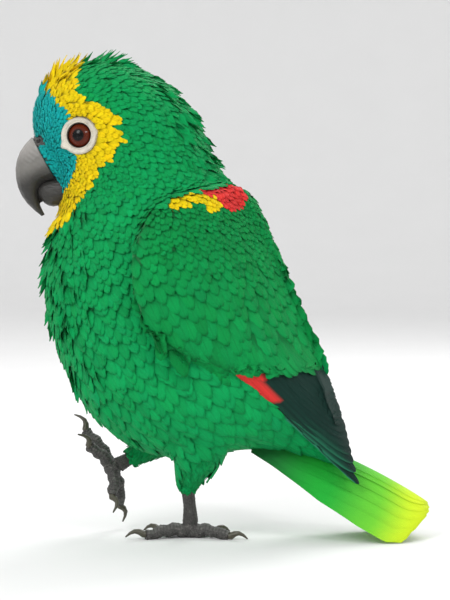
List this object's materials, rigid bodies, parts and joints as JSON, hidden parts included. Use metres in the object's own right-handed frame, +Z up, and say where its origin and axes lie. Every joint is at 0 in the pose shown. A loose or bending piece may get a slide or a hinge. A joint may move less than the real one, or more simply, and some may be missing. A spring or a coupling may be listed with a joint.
{
  "type": "turquoise-fronted amazon parrot",
  "caption": "Life-size still model of a turquoise-fronted amazon parrot standing on one foot with the other foot raised.",
  "frame": {"origin": "on the floor, at the middle of the sole of the standing left foot", "axes": "+Z up, -X the way the bird faces, -Y its left side"},
  "size_m": [0.2443, 0.1176, 0.2805],
  "materials": {
    "green_coat": "soft overlapping feathers",
    "wing_green": "smooth overlapping feathers with a slight sheen",
    "flight_dark": "long stiff feathers with a slight sheen",
    "tail_green": "long feathers, green shading to yellow-green",
    "cere_skin": "bare skin",
    "bill_grey": "satin horn, grey shading to dark at the tip",
    "bill_dark": "satin dark horn",
    "ring_skin": "bare wrinkled skin",
    "iris_brown": "wet, glossy",
    "foot_skin": "scaly skin",
    "claw_horn": "satin dark horn"
  },
  "bodies": {
    "root": {"trunk": "green_coat", "neck": "green_coat", "head": "green_coat", "thigh_left": "green_coat", "thigh_right": "green_coat", "wing_left": "wing_green", "wing_right": "wing_green", "flight_feathers_left": "flight_dark", "flight_feathers_right": "flight_dark", "tail": "tail_green", "cere": "cere_skin", "upper_bill": "bill_grey", "lower_bill": "bill_dark", "eye_left": "iris_brown", "eye_right": "iris_brown", "eye_ring_left": "ring_skin", "eye_ring_right": "ring_skin", "tarsus_left": "foot_skin", "tarsus_right": "foot_skin", "foot_left": "foot_skin", "foot_right": "foot_skin", "claw_left_1": "claw_horn", "claw_left_2": "claw_horn", "claw_left_3": "claw_horn", "claw_left_4": "claw_horn", "claw_right_1": "claw_horn", "claw_right_2": "claw_horn", "claw_right_3": "claw_horn", "claw_right_4": "claw_horn"}
  },
  "joints": []
}
